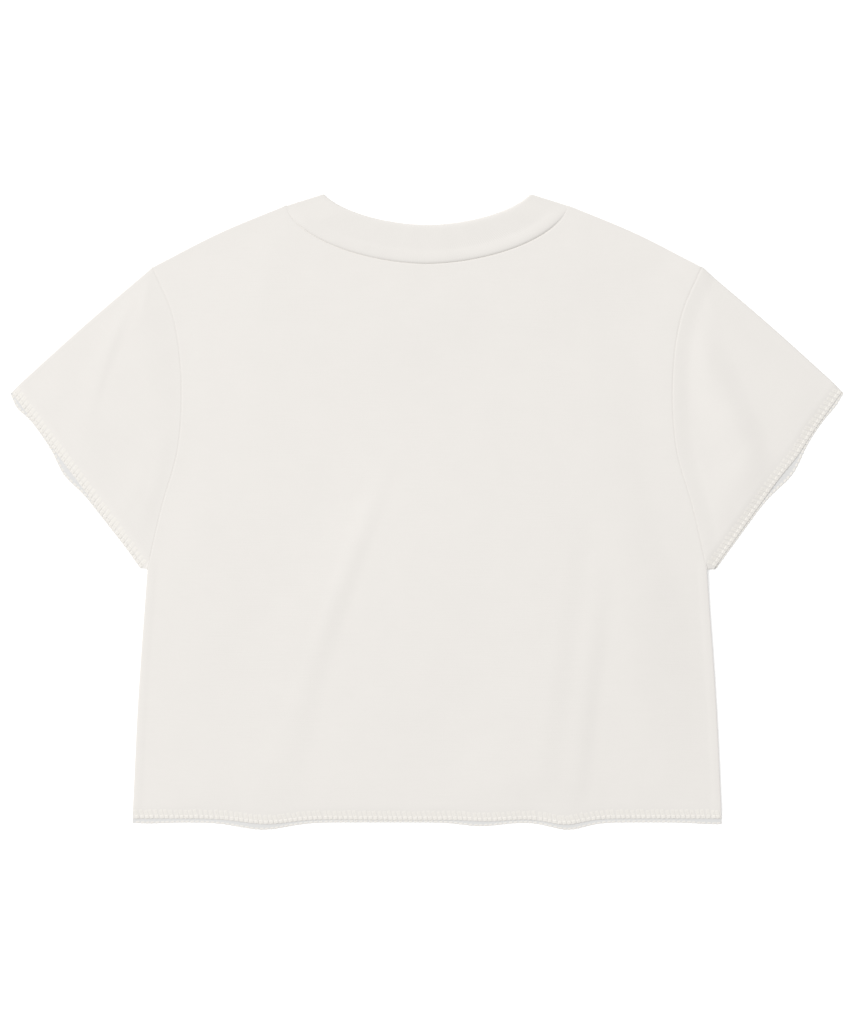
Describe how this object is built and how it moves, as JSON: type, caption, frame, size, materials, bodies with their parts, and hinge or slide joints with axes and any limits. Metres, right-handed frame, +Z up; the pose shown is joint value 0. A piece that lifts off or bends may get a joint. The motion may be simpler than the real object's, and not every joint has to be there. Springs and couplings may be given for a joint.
{
  "type": "crop top",
  "caption": "Boxy cropped short-sleeve T-shirt with a wide rib collar and whip-stitched hem and cuffs, laid flat with its back up.",
  "frame": {"origin": "on the surface the garment lies on, under the middle of its bounding box", "axes": "+Z up out of the surface and through the back of the garment, +Y from hem to neck, +X to the right as seen from above"},
  "size_m": [0.6674, 0.5085, 0.0067],
  "materials": {
    "jersey": "matt cotton jersey",
    "rib": "matt cotton rib"
  },
  "bodies": {
    "root": {"front_panel": "jersey", "back_panel": "jersey", "sleeve_left": "jersey", "sleeve_right": "jersey", "neck_rib": "rib"}
  },
  "joints": []
}
